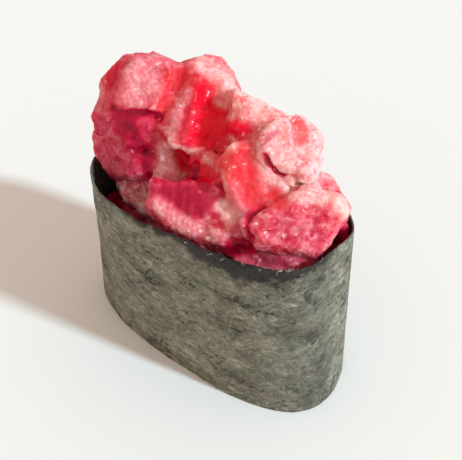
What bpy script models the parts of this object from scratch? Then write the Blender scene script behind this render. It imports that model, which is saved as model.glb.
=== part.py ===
"""Gunkan sushi: a strip of nori wrapped round a bed of rice and heaped with cut raw tuna.

+X is the long axis, +Z is up, and the origin is the middle of the foot of the whole piece.
Lengths in the tables are in millimetres and angles in degrees; the objects are in metres.
"""

import math
import random

import bmesh
import bpy
from mathutils import Matrix, Vector

MM = 0.001

# The band of nori
BAND_HEIGHT = 32.0
BAND_HALF_LENGTH = 26.0
BAND_HALF_WIDTH = 15.4
PLAN_POWER = 2.25  # 2 is an ellipse, more is squarer
NORI_THICKNESS = 0.5
NORI_STEPS = 96
NORI_LEVELS = 5
RIM_WAVE = 0.25  # height of the rim's three low swells
RIM_PHASE = 40.0
SEAM_START = 100.0  # bearing where the strip begins, at the back
SEAM_OVERLAP = 24.0  # how far its end laps over its beginning
SEAM_GAP = 0.3
SEAM_RAMP = 14.0  # the end rises over the beginning in this angle

# Where the maker's fingers pushed the band out (+) or in (-):
# bearing, share of the radius at the foot, share of the radius at the rim
PRESSES = (
    (-165, 0.10, 0.025),
    (-125, -0.06, 0.10),
    (-85, -0.085, -0.05),
    (-45, 0.08, 0.02),
    (-8, -0.045, -0.13),
    (30, -0.10, 0.035),
    (47, -0.015, -0.23),
    (62, 0.0, 0.095),
)
PRESS_SPREAD = 30.0

# The rice inside it
GAP = 0.3  # between any two pieces
RICE_TOP = 20.0
RICE_ROUNDING = 3.0
RICE_ARC = (30, 60, 90)  # angles of the rings round its upper edge
RICE_STEPS = 64

# The tuna
ROUNDING = 0.45  # radius of a chunk's edges
SIDE_FLARE = (-10, 10)  # how far a side leans out (-) or in (+) towards the back
BURIED = 1.5  # a chunk whose middle is deeper than this in another is left out
LEAST_HALF_THICKNESS = 1.4
RIM_CLEARANCE = 0.6
CLIP_STEPS = 36
BLANK = 200.0  # side of the cube a chunk is cut from
SHARP_ANGLE = 40  # edges bent more than this are shaded sharp

# Chunks of tuna on show, in the order they are settled, each pressed flat against those before:
# name, middle of its outer face, bearing and rise of that face, thickness,
# then the knife cuts round it: clock angle, distance out, width of the facet along the edge
CHUNKS = (
    ("centre_peak", (-7, 2, 45.5), (52, 34), 10,
     ((-160, 8, 1), (-120, 8, 1.5), (-100, 8.5, 1.5), (-20, 6.5, 1),
      (20, 7.5, 2), (70, 9, 4), (110, 8, 2), (155, 5.5, 3.5))),
    ("left_top", (-17.5, -2, 48.5), (32, 34), 9,
     ((-95, 4.4, 0.5), (-20, 7.5, 3.5), (70, 6, 1), (95, 4.5, 1), (140, 6, 3), (170, 8, 5))),
    ("middle_right", (8, -3.5, 40.5), (46, 38), 9,
     ((-160, 5, 1), (-110, 5.5, 1), (-80, 6, 1), (-25, 7.5, 2),
      (30, 5, 2.5), (60, 6, 1), (115, 6.5, 1), (165, 5.5, 1))),
    ("right_ridge", (3.5, 1.5, 46.5), (42, 42), 9,
     ((-120, 4.5, 1), (-95, 5, 1), (-60, 5, 1), (-25, 6, 1), (60, 5, 2), (140, 6, 1), (165, 3.5, 1))),
    ("right_back", (11, 2, 45.5), (50, 40), 9,
     ((-150, 4.5, 1), (-125, 4.5, 1.5), (-75, 6, 1), (-15, 5.5, 2),
      (30, 5, 1), (70, 5.5, 1), (105, 6, 1), (160, 5, 1))),
    ("front_rim", (15, -7.5, 29.5), (30, 35), 6,
     ((-110, 3.5, 0.5), (-80, 3.5, 0.5), (-10, 7, 0.5), (85, 3, 0.5), (120, 4.5, 0.5), (145, 5.5, 0.5))),
    ("front_slab", (1.5, -10.5, 34), (20, 40), 8,
     ((-135, 7, 2), (-100, 5, 2), (-60, 7, 1), (10, 8.5, 2), (40, 8, 2), (100, 6.5, 1), (180, 9.5, 1))),
    ("right_front", (17, -4.5, 36.5), (44, 36), 9,
     ((-150, 7.5, 1.5), (-110, 5.5, 1.5), (-40, 7, 1), (35, 8.5, 1), (75, 6, 1), (120, 5, 1.5))),
    ("front_left", (-14, -6.5, 29), (10, 35), 6,
     ((-135, 4.5, 1), (-105, 3.5, 1), (-20, 6, 1), (70, 4.5, 0.5), (115, 3.5, 0.5), (150, 5.5, 1))),
    ("left_ridge", (-14, -3, 38.5), (48, 14), 9,
     ((-170, 3.5, 1), (-95, 8, 1), (-10, 2.5, 1), (80, 8.5, 0.5))),
    ("left_wall", (-20.5, -7, 37), (5, 8), 9,
     ((-175, 5, 1), (-135, 6.5, 1.5), (-70, 7, 1.5), (10, 7.5, 0.5), (110, 10, 0.5), (150, 8, 1))),
    ("left_foot", (-11, -3, 35.5), (35, 45), 7,
     ((-85, 3.5, 0.5), (-40, 4, 0.5), (25, 3.5, 0.5), (70, 4, 0.5), (150, 3, 0.5), (175, 3.5, 0.5))),
    ("middle", (-1.5, -3, 38), (22, 38), 7,
     ((-140, 3.5, 0.5), (-85, 4, 0.5), (10, 4.5, 0.5), (105, 4.5, 0.5), (150, 4.5, 0.5))),
    ("right_low", (14.5, 2, 38.5), (50, 48), 6,
     ((-175, 5.5, 0.5), (-135, 4.5, 0.5), (-95, 4.5, 0.5), (25, 5, 0.5), (75, 4, 0.5), (95, 4.5, 0.5))),
)

# The far side of the heap: name, bearings of its first and last chunk, how many,
# share of the plan radius, share of the heap's height, rise of the outer faces
TIERS = (
    ("back_low", 40, 172, 5, 0.80, 0.26, 14),
    ("back_high", 62, 168, 4, 0.62, 0.66, 34),
)
HEAP_TOP = 44.0  # at the middle of the band
HEAP_SLOPE = -0.25  # it falls towards +X
TIER_THICKNESS = 9.0
TIER_REACH = (5.5, 7.0)
TIER_SIDES = 5
TIER_FACET = (1, 2)
TIER_TURN = (-15, 15)  # how far a side is turned out of its even place
TIER_TILT = (-8, 8)

# The layer below, lying on the rice
BED_COLUMNS = 5
BED_TURN = (-12, 12)
BED_FACET = 1.0
BED_BEARING = (-10, 10)
BED_SPACING = 9.5
BED_WIDTH = 10.5
# Each row: name, middle, length across the band, height
BED_ROWS = (("front", -4.5, 11.0, 3.6), ("back", 7.5, 15.0, 11.0))


def press(bearing, level):
    """Radius of the band at a bearing, as a share of the plain oval; level is 0 to 1."""
    total = 1.0
    for middle, foot, rim in PRESSES:
        away = (bearing - middle + 180.0) % 360.0 - 180.0
        amount = foot + (rim - foot) * level
        total += amount * math.exp(-((away / PRESS_SPREAD) ** 2))
    return total


def plan_point(bearing, level):
    """Point of the band's middle line, in millimetres."""
    t = math.radians(bearing)
    c, s = math.cos(t), math.sin(t)
    radius = (abs(c) ** PLAN_POWER + abs(s) ** PLAN_POWER) ** (-1.0 / PLAN_POWER)
    radius *= press(bearing, level)
    return Vector((BAND_HALF_LENGTH * radius * c, BAND_HALF_WIDTH * radius * s, 0.0))


def plan_normal(bearing, level):
    """Outward direction, square to the middle line."""
    along = plan_point(bearing + 0.5, level) - plan_point(bearing - 0.5, level)
    return Vector((along.y, -along.x, 0.0)).normalized()


def offset_point(bearing, level, offset):
    return plan_point(bearing, level) + plan_normal(bearing, level) * offset


def smooth(t):
    t = min(max(t, 0.0), 1.0)
    return t * t * (3.0 - 2.0 * t)


def material(name, colour, roughness):
    made = bpy.data.materials.new(name)
    made.use_nodes = True
    shader = made.node_tree.nodes["Principled BSDF"]
    shader.inputs["Base Color"].default_value = (*colour, 1.0)
    shader.inputs["Roughness"].default_value = roughness
    return made


def finish(bm, name, look):
    """Turn a closed bmesh in millimetres into an object in metres."""
    bmesh.ops.recalc_face_normals(bm, faces=bm.faces)
    bmesh.ops.scale(bm, vec=(MM, MM, MM), verts=bm.verts)
    mesh = bpy.data.meshes.new(name)
    bm.to_mesh(mesh)
    bm.free()
    mesh.materials.append(look)
    mesh.shade_smooth()
    mesh.set_sharp_from_angle(angle=math.radians(SHARP_ANGLE))
    made = bpy.data.objects.new(name, mesh)
    bpy.context.scene.collection.objects.link(made)
    return made


def nori_section(bearing, lift):
    """The strip cut across at a bearing: up the outside, then down the inside."""
    half = NORI_THICKNESS / 2
    outside, inside = [], []
    for step in range(NORI_LEVELS + 1):
        level = step / NORI_LEVELS
        height = BAND_HEIGHT * level
        if step == NORI_LEVELS:
            height += RIM_WAVE * math.sin(math.radians(3 * bearing + RIM_PHASE))
        for offset, side in ((half, outside), (-half, inside)):
            point = offset_point(bearing, level, lift + offset)
            side.append((point.x, point.y, height))
    return outside + inside[::-1]


def build_nori(look):
    bm = bmesh.new()
    turn = 360.0 + SEAM_OVERLAP
    rings = []
    for step in range(NORI_STEPS + 1):
        along = turn * step / NORI_STEPS
        rise = smooth((along - (360.0 - SEAM_RAMP)) / SEAM_RAMP)
        lift = rise * (NORI_THICKNESS + SEAM_GAP)
        section = nori_section(SEAM_START + along, lift)
        rings.append([bm.verts.new(point) for point in section])
    count = len(rings[0])
    for near, far in zip(rings, rings[1:]):
        for i in range(count):
            j = (i + 1) % count
            bm.faces.new((near[i], near[j], far[j], far[i]))
    bm.faces.new(rings[0])
    bm.faces.new(rings[-1][::-1])
    return finish(bm, "nori_band", look)


def build_rice(look):
    bm = bmesh.new()
    inset = NORI_THICKNESS / 2 + GAP
    profile = [(0.0, 0.0), (RICE_TOP - RICE_ROUNDING, 0.0)]
    for angle in RICE_ARC:
        t = math.radians(angle)
        drop = RICE_ROUNDING * (1 - math.sin(t))
        profile.append((RICE_TOP - drop, RICE_ROUNDING * (1 - math.cos(t))))
    rings = []
    for height, pull in profile:
        level = height / BAND_HEIGHT
        ring = []
        for step in range(RICE_STEPS):
            point = offset_point(360.0 * step / RICE_STEPS, level, -inset - pull)
            ring.append(bm.verts.new((point.x, point.y, height)))
        rings.append(ring)
    for low, high in zip(rings, rings[1:]):
        for i in range(RICE_STEPS):
            j = (i + 1) % RICE_STEPS
            bm.faces.new((low[i], low[j], high[j], high[i]))
    bm.faces.new(rings[0][::-1])
    bm.faces.new(rings[-1])
    return finish(bm, "rice_bed", look)


def facing(bearing, rise):
    """Axes of a chunk's outer face: right, up and outward."""
    turn, lift = math.radians(bearing), math.radians(rise)
    right = Vector((math.cos(turn), math.sin(turn), 0.0))
    outward = Vector((math.sin(turn) * math.cos(lift), -math.cos(turn) * math.cos(lift), math.sin(lift)))
    return right, outward.cross(right), outward


def chunk_planes(middle, face, thickness, cuts, dice):
    """A knife-cut chunk as (direction, distance) pairs: outer face, back, sides and facets."""
    right, up, outward = facing(*face)
    middle = Vector(middle)
    back = middle - outward * thickness
    planes = [(outward, outward.dot(middle)), (-outward, -outward.dot(back))]
    for clock, distance, facet in cuts:
        angle = math.radians(clock)
        side = right * math.cos(angle) + up * math.sin(angle)
        edge = middle + side * distance
        flare = math.radians(dice.uniform(*SIDE_FLARE))
        leaning = side * math.cos(flare) - outward * math.sin(flare)
        planes.append((leaning, leaning.dot(edge)))
        slant = (side + outward).normalized()
        planes.append((slant, slant.dot(edge - side * facet)))
    return planes


def rim_planes(level):
    """Upright planes just inside the band."""
    planes = []
    for step in range(CLIP_STEPS):
        bearing = 360.0 * step / CLIP_STEPS
        direction = plan_normal(bearing, level)
        inside = offset_point(bearing, level, -RIM_CLEARANCE)
        planes.append((direction, direction.dot(inside)))
    return planes


def cut_solid(planes, inset=0.0):
    """Corner points of the solid that all the planes leave, each moved in by inset."""
    bm = bmesh.new()
    bmesh.ops.create_cube(bm, size=BLANK)
    for direction, distance in planes:
        everything = bm.verts[:] + bm.edges[:] + bm.faces[:]
        cut = bmesh.ops.bisect_plane(
            bm, geom=everything, dist=1e-5, clear_outer=True,
            plane_co=direction * (distance - inset), plane_no=direction)
        rim = [item for item in cut["geom_cut"] if isinstance(item, bmesh.types.BMEdge)]
        if rim:
            bmesh.ops.edgeloop_fill(bm, edges=rim)
    points = [vert.co.copy() for vert in bm.verts]
    bm.free()
    return points


def trimmed(planes):
    """The planes that still bound the solid, and its corner points."""
    points = cut_solid(planes)
    kept = [(direction, distance) for direction, distance in planes
            if any(abs(direction.dot(point) - distance) < 1e-3 for point in points)]
    return kept, points


def parting_plane(senior, points, middle):
    """The senior chunk's side farthest behind the middle of a chunk, and how far; None if clear."""
    best, farthest = None, -math.inf
    for direction, distance in senior:
        limit = distance + GAP
        if all(direction.dot(point) >= limit for point in points):
            return None, 0.0
        behind = direction.dot(middle) - limit
        if behind > farthest:
            best, farthest = (-direction, -limit), behind
    return best, farthest


def settle(planes, middle, settled):
    """Press a chunk into the band and flat against the chunks there; None if too little is left."""
    planes = planes + [(Vector((0, 0, -1)), -(RICE_TOP + GAP))] + rim_planes(1.0)
    planes, points = trimmed(planes)
    lowest = min(point.z for point in points)
    if lowest < BAND_HEIGHT:
        planes, points = trimmed(planes + rim_planes(lowest / BAND_HEIGHT))
    for other in settled:
        parting, behind = parting_plane(other, points, middle)
        if not points or behind < -BURIED:
            return None
        if parting:
            planes, points = trimmed(planes + [parting])
    return planes if cut_solid(planes, LEAST_HALF_THICKNESS) else None


def build_chunk(name, planes, look):
    """Round the edges by rolling a small ball round the inset solid."""
    ball = bmesh.new()
    bmesh.ops.create_icosphere(ball, subdivisions=1, radius=ROUNDING)
    bumps = [vert.co.copy() for vert in ball.verts]
    ball.free()
    bm = bmesh.new()
    for point in cut_solid(planes, ROUNDING):
        for bump in bumps:
            bm.verts.new(point + bump)
    bmesh.ops.convex_hull(bm, input=bm.verts)
    loose = [vert for vert in bm.verts if not vert.link_faces]
    bmesh.ops.delete(bm, geom=loose, context="VERTS")
    bmesh.ops.dissolve_limit(bm, angle_limit=math.radians(1), verts=bm.verts, edges=bm.edges)
    return finish(bm, "tuna_" + name, look)


def tier_chunks():
    """Planes of the chunks that finish the far side of the heap."""
    for name, first, last, count, spread, share, rise in TIERS:
        for step in range(count):
            dice = random.Random(name + str(step))
            bearing = first + (last - first) * step / (count - 1)
            middle = plan_point(bearing, 1.0) * spread
            top = HEAP_TOP + HEAP_SLOPE * middle.x
            middle.z = BAND_HEIGHT + (top - BAND_HEIGHT) * share
            outward = plan_normal(bearing, 1.0)
            turn = math.degrees(math.atan2(outward.x, -outward.y))
            face = (turn, rise + dice.uniform(*TIER_TILT))
            cuts = [(clock + dice.uniform(*TIER_TURN), dice.uniform(*TIER_REACH),
                     dice.uniform(*TIER_FACET)) for clock in range(0, 360, 360 // TIER_SIDES)]
            yield f"{name}_{step + 1}", middle, chunk_planes(middle, face, TIER_THICKNESS, cuts, dice)


def bed_chunks():
    """Planes of the chunks that lie on the rice, in two rows."""
    for column in range(BED_COLUMNS):
        x = (column - (BED_COLUMNS - 1) / 2) * BED_SPACING
        for row, y, length, height in BED_ROWS:
            dice = random.Random(f"bed {column} {row}")
            sides = ((0, BED_WIDTH), (90, length), (180, BED_WIDTH), (270, length))
            cuts = [(clock + dice.uniform(*BED_TURN), size / 2, BED_FACET)
                    for clock, size in sides]
            top = Vector((x, y, RICE_TOP + height))
            middle = top - Vector((0, 0, height / 2))
            face = (dice.uniform(*BED_BEARING), 90)
            yield f"bed_{column + 1}_{row}", middle, chunk_planes(top, face, height, cuts, dice)


def build_tuna(look):
    shown = [(name, Vector(middle), chunk_planes(middle, *design, random.Random(number)))
             for number, (name, middle, *design) in enumerate(CHUNKS)]
    settled, made = [], []
    for name, middle, planes in shown + list(tier_chunks()) + list(bed_chunks()):
        planes = settle(planes, middle, settled)
        if planes:
            settled.append(planes)
            made.append(build_chunk(name, planes, look))
    return made


def stand_on_origin(pieces):
    """Put the middle of the foot of everything at the origin."""
    corners = [vert.co for piece in pieces for vert in piece.data.vertices]
    low = [min(corner[axis] for corner in corners) for axis in range(3)]
    high = [max(corner[axis] for corner in corners) for axis in range(3)]
    shift = (-(low[0] + high[0]) / 2, -(low[1] + high[1]) / 2, -low[2])
    for piece in pieces:
        piece.data.transform(Matrix.Translation(shift))


def main():
    for existing in list(bpy.data.objects):
        bpy.data.objects.remove(existing)
    nori = material("nori", (0.10, 0.10, 0.075), 0.8)
    rice = material("cooked rice", (0.80, 0.78, 0.70), 0.45)
    tuna = material("raw tuna", (0.62, 0.06, 0.09), 0.3)
    pieces = [build_nori(nori), build_rice(rice)]
    pieces += build_tuna(tuna)
    stand_on_origin(pieces)


main()
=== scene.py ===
"""Looks of a gunkan sushi: raw cut tuna heaped on rice in a band of nori.

Sizes are in millimetres and angles in degrees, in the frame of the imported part; pieces end up
in metres.
"""

import itertools
import math
import random

import bmesh
import bpy
import numpy as np
from mathutils import Matrix, Vector
from mathutils.bvhtree import BVHTree


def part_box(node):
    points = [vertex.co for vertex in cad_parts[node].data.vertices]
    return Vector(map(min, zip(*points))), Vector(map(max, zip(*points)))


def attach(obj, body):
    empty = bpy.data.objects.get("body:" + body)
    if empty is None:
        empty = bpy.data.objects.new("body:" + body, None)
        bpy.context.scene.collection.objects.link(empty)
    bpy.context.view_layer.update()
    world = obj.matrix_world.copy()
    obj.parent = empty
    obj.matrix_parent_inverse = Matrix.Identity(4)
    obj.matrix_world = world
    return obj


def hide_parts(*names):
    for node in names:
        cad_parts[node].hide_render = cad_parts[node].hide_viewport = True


MM = 0.001

# Camera, light and floor
CAMERA_TARGET = (5.9, -5.5, 29.2)
CAMERA_DISTANCE = 205.0
CAMERA_ANGLES = (37.5, 40.0)  # azimuth and elevation
CAMERA_RANGE = (10.0, 10000.0)  # the nearest and the farthest it sees
LENS = 93.9
KEY_ANGLES = (8.0, 32.0)  # bearing the key light comes from, and its height
KEY_STRENGTH = 3.5
KEY_SPREAD = 5.0
KEY_COLOUR = (0.68, 0.89, 1.0)
SKY_STRENGTH = 0.735
SKY_COLOUR = (1.0, 0.833, 0.714)
FLOOR_SIZE = 3000.0
FLOOR_COLOUR = (0.83, 0.825, 0.81)

# The band of nori: the same oval as the part's
BAND_HEIGHT = 32.0
BAND_HALF_LENGTH = 26.0
BAND_HALF_WIDTH = 15.4
PLAN_POWER = 2.25
PRESSES = (  # bearing, then the share the wall stands out by there at the foot and at the rim
    (-165, 0.10, 0.025),
    (-125, -0.06, 0.10),
    (-85, -0.085, -0.05),
    (-45, 0.08, 0.02),
    (-8, -0.045, -0.13),
    (30, -0.10, 0.035),
    (47, -0.015, -0.23),
    (62, 0.0, 0.095),
)
PRESS_SPREAD = 30.0
SHEET_THICKNESS = 0.28
SHEET_STEPS = 480
SHEET_LEVELS = 84
SEAM_START = 100.0
SEAM_OVERLAP = 24.0
SEAM_RAMP = 14.0
SEAM_GAP = 0.12

# Surface of the nori. An unevenness is given as the size of its lumps, their amount and a seed,
# and some have a number of layers, each finer than the one before
BUCKLES = (9.0, 0.16, 1)
PULP = (2.4, 0.06, 2, 3)
RIM_WAVES = (3.0, 0.25, 5)
RIM_NICKS = (0.8, 0.12, 6)
RIM_SQUEEZE = (1, 1, 0.2)
FOOT_LIFT = 0.1
FOOT_WAVES = (1.2, 1.0, 8)
EDGE_POWER = 8  # how close waves and nicks keep to the rim and the foot
CREASES = (1.9, 1.0, 12)
CREASE_STRAY = (1.0, 0.4, 13)
CREASE_SQUEEZE = (0.28, 0.28, 1.0)
CREASE_WIDTH = 0.13
CREASE_DEPTH = 0.13
CREASE_PATCHES = (7.0, 1.0, 14)
PATCH_EDGE = (0.05, 0.35)
# Stretches of the band: bearing of the middle, and the spread to both sides
CREASED = (-50.0, 30.0)
DAMP = (-62.0, 34.0)
DAMP_WHOLE = (-62.0, 60.0)  # there is none past the ends of this stretch
# painted shade: a stretch of the wall coloured darker, as if less lit
SHADED_STRETCH = (-28.0, 18.0)
FRAYED = (-50.0, 16.0)
# Creases gather near the rim and, less, near the foot: between these shares of the height
RIM_CREASES = (0.70, 0.82)
FOOT_CREASES = (0.20, 0.28)
FOOT_CREASE_SHARE = 0.7
DAMP_EDGE = (3.0, 1.0, 9, 3)
DAMP_DEPTHS = (1.0, 3.6, 1.5)  # all round the rim, more at the middle, more or less at the edge
DAMP_FADE = 2.0
DAMP_ENDS = (0.25, 0.45)  # where it ends, in shares of that stretch's strength
# strength of the painted shade over that stretch, and how much it varies
STRETCH_SHADE_SHARE = 0.5
STRETCH_SHADE_RAGGED = 0.5
# painted shade on the inside face of the band
INSIDE_SHADE = 0.35

# Loose fibres of the rim
FRAYS = 34
FRAY_LENGTH = (0.4, 1.1)
FRAY_BEND = (-3.0, 3.0)  # radians
FRAY_OUT = (-0.1, 0.2)
FRAY_DOWN = (0.0, 0.25)
FRAY_LIFT = (-0.2, 0.6)
FRAY_RADIUS = 0.11
FRAY_TAPER = 0.6
FRAY_STEPS = 6
FRAY_SIDES = 3
FRAY_LEAN = 1  # radians

# Rice
RICE_TOP = 20.0
RICE_DEPTH = 1.2  # how far the core lies under the grains' outside
RICE_VOXEL = 0.5
RICE_LUMPS = (3.0, 0.25, 3)
RICE_CLEARANCE = 0.35
RICE_PULLS = (1.0, 0.95, 0.9, 0.85)  # how far grains draw in from the band to find room
RICE_RANGE = (0.03, RICE_TOP + 1.0)  # the lowest and the highest that grains reach
GRAIN = np.array((5.4, 2.7, 2.3))
GRAIN_TAPER = 0.12
GRAIN_CURVE = 0.05
GRAIN_PITCH = (3.7, 2.7)
GRAIN_ROWS = 6
GRAIN_COLUMNS = 8
GRAIN_STRAY = 0.2  # in pitches
GRAIN_RISE = (-0.25, 0.35)
GRAIN_SIZES = (0.88, 1.1)
GRAIN_TILT = 0.18  # radians

# Meshes of the tuna
VOXEL = 0.23
HIDDEN_VOXEL = 0.4
WELD = 0.001
GROW = 0.16
CLOSE_REACH = 2.6  # gaps between chunks narrower than this are drawn shut
CLOSE_FULL = 0.6  # share of the reach over which the draw grows to full
CLOSE_LAP = 0.40  # how far past half way the chunks' faces are drawn
CLOSE_LEAST = 0.1  # narrower gaps are drawn as if this wide
CLOSE_SMOOTHING = 2
SKIN_REACH = 1.1  # the skin over the heap spans creases about this deep
SKIN_VOXEL = 0.5
SKIN_SMOOTHING = (4, 3)
SKIN_DEPTH = 2.6  # how deep under the skin the flesh still rises towards it
SKIN_FULL = 0.4  # share of that depth down to which it rises most
SKIN_SHARE = 0.78
RISE_SMOOTHING = 2
WALL_CLEARANCE = 0.6  # how far the flesh keeps from the middle of the nori
RIM_MARGIN = 0.3  # and up to how far over its rim

# Surface of the tuna
WARPS = ((6.0, 0.42, 20), (2.4, 0.16, 30))
TEARS = ((3.8, 0.42, 51), (1.7, 0.22, 52))
TEAR_STEP = 0.4  # width of the step between two torn facets, in facets
TEARS_LOST = 0.7  # share of the tears' height that is lost where chunks meet
PUSH_LOST = 0.5  # and of a stroke's push inward
LUMPS = (1.7, 50, 0.6, 0.3)  # size of the cells, seed, highest and middle height in cells
LUMP_BEND = 0.4
LUMP_HEIGHT = 0.03
ICY_LUMP_HEIGHT = 0.10
GRIT = (0.75, 60, 0.5, 0.2)
GRIT_HEIGHT = 0.12
PORES = (0.9, 0.05, 70)
FIBRE_SIZE = 0.8
FIBRE_SEED = 90
FIBRE_SQUEEZE = 0.88
FIBRE_HEIGHT = 0.05
STROKE_WOBBLE = (2.5, 0.35, 44, 2)
STROKE_EDGE = (0.3, 1.5)  # where a stroke starts to fade and where it ends, in radii

# Tones of the tuna
FLESH_BLEND = 0.5
FLESH_SMOOTHING = 14
FROST_PATCHES = (4.5, 0.5, 40)
TONE_PATCHES = (3.5, 0.10, 42)
TONE_MOTTLE = (1.5, 0.16, 71, 3)
BARE_MOTTLE = 0.4
WARMTH_PATCHES = (5.0, 0.2, 45)
EDGE_SMOOTHING = 5
EDGE_FROST_AND_GLOW = (0.01, 0.10, 0.22)  # heights over the smoothed shape from and to, and the change: edges standing out are paler, partly frost and partly a painted glow of light through thin flesh
# painted shade: dips under the smoothed shape are darker; depths from and to, and the change
SHADED_DIPS = (0.0, 0.08, 0.16)
# painted shade where chunks meet: closeness from and to, and the change
SHADED_SEAMS = (0.7, 1.0, 0.10)
LUMP_TONE = 0.14
GRIT_TONE = 0.12
FIBRE_TONE = 0.06
TONE_TOP = 1.1

# Flesh by chunk: tone, from deep red to pale; warmth, from crimson to salmon; and frost
FLESH = {
    "left_top": (0.68, 0.30, 0.80),
    "centre_peak": (0.52, 0.50, 0.40),
    "right_ridge": (0.98, 0.70, 0.60),
    "right_back": (0.98, 0.55, 0.80),
    "middle_right": (0.66, 0.80, 0.35),
    "middle": (0.82, 0.40, 0.90),
    "left_ridge": (0.38, 0.15, 0.20),
    "left_wall": (0.46, 0.00, 0.35),
    "left_foot": (0.92, 0.00, 0.80),
    "front_left": (0.90, 0.05, 0.95),
    "front_slab": (0.58, 0.10, 0.70),
    "right_front": (0.62, 0.20, 0.60),
    "front_rim": (0.57, 0.00, 0.00),
    "right_low": (0.80, 0.45, 0.60),
}
OTHER_FLESH = (0.60, 0.35, 0.55)
# the bed of chunks under the heap is near black: painted shade of the deep cavity
SHADED_BED_FLESH = (0.14, 0.10, 0.20)
SHADES = {
    "garnet": (0.10, 0.15, 0.0),
    "red": (0.36, 0.40, 0.1),
    "dusk": (0.32, 0.00, 0.2),
    "scarlet": (0.26, 0.85, 0.0),
    "ember": (0.52, 0.85, 0.1),
    "salmon": (0.66, 0.90, 0.3),
    "blush": (0.80, 0.90, 0.2),
    "mauve": (0.64, 0.00, 0.6),
    "pink": (0.74, 0.30, 0.7),
    "frost": (0.88, 0.25, 1.0),
    "rose": (0.95, 0.00, 0.8),
    "pale": (0.98, 0.60, 0.7),
    "cream": (1.00, 1.00, 0.4),
}
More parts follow.
